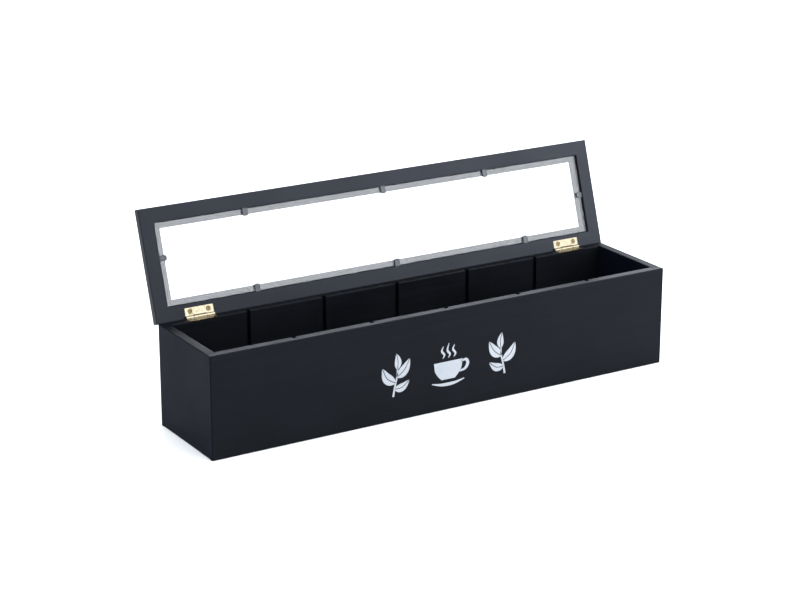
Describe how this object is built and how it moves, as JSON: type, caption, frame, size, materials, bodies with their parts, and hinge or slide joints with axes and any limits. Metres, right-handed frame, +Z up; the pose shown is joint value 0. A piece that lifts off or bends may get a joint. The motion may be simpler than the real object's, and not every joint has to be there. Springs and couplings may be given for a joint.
{
  "type": "tea bag organizer box",
  "caption": "Long black wooden box with a row of grooved compartments, lift-out dividers and a hinged lid framing a clear glass window, for sorting tea bags.",
  "frame": {"origin": "centre of the box's underside", "axes": "+X to the box's right along its length, +Y from the front to the hinged back, +Z up; the lid stands open at rest"},
  "size_m": [0.432, 0.1247, 0.1714],
  "materials": {
    "painted_wood": "satin black paint",
    "clear_glass": "clear, flat",
    "brass": "pale brass plate",
    "clip_steel": "dark grey"
  },
  "bodies": {
    "box": {"front_panel": "painted_wood", "back_panel": "painted_wood", "left_end_panel": "painted_wood", "right_end_panel": "painted_wood", "bottom_panel": "painted_wood", "left_hinge_box_leaf": "brass", "right_hinge_box_leaf": "brass", "box_hinge_screws": "brass"},
    "lid": {"lid_front_rail": "painted_wood", "lid_rear_rail": "painted_wood", "lid_left_stile": "painted_wood", "lid_right_stile": "painted_wood", "glass_pane": "clear_glass", "glass_clip_front_left": "clip_steel", "glass_clip_front_middle": "clip_steel", "glass_clip_front_right": "clip_steel", "glass_clip_rear_left": "clip_steel", "glass_clip_rear_middle": "clip_steel", "glass_clip_rear_right": "clip_steel", "glass_clip_left": "clip_steel", "glass_clip_right": "clip_steel", "left_hinge_lid_leaf": "brass", "right_hinge_lid_leaf": "brass", "left_hinge_pin": "brass", "right_hinge_pin": "brass", "lid_hinge_screws": "brass"},
    "divider_1": {"divider_1": "painted_wood"},
    "divider_2": {"divider_2": "painted_wood"},
    "divider_3": {"divider_3": "painted_wood"},
    "divider_4": {"divider_4": "painted_wood"},
    "divider_5": {"divider_5": "painted_wood"}
  },
  "joints": [
    {"name": "lid_hinge", "type": "hinge", "parent": "box", "child": "lid", "pos_m": [0, 0.045, 0.08518], "axis": [-1, 0, 0], "range_deg": [-108, 0]},
    {"name": "divider_1_lift", "type": "slide", "parent": "box", "child": "divider_1", "axis": [0, 0, 1], "range_m": [0, 0.085]},
    {"name": "divider_2_lift", "type": "slide", "parent": "box", "child": "divider_2", "axis": [0, 0, 1], "range_m": [0, 0.085]},
    {"name": "divider_3_lift", "type": "slide", "parent": "box", "child": "divider_3", "axis": [0, 0, 1], "range_m": [0, 0.085]},
    {"name": "divider_4_lift", "type": "slide", "parent": "box", "child": "divider_4", "axis": [0, 0, 1], "range_m": [0, 0.085]},
    {"name": "divider_5_lift", "type": "slide", "parent": "box", "child": "divider_5", "axis": [0, 0, 1], "range_m": [0, 0.085]}
  ]
}
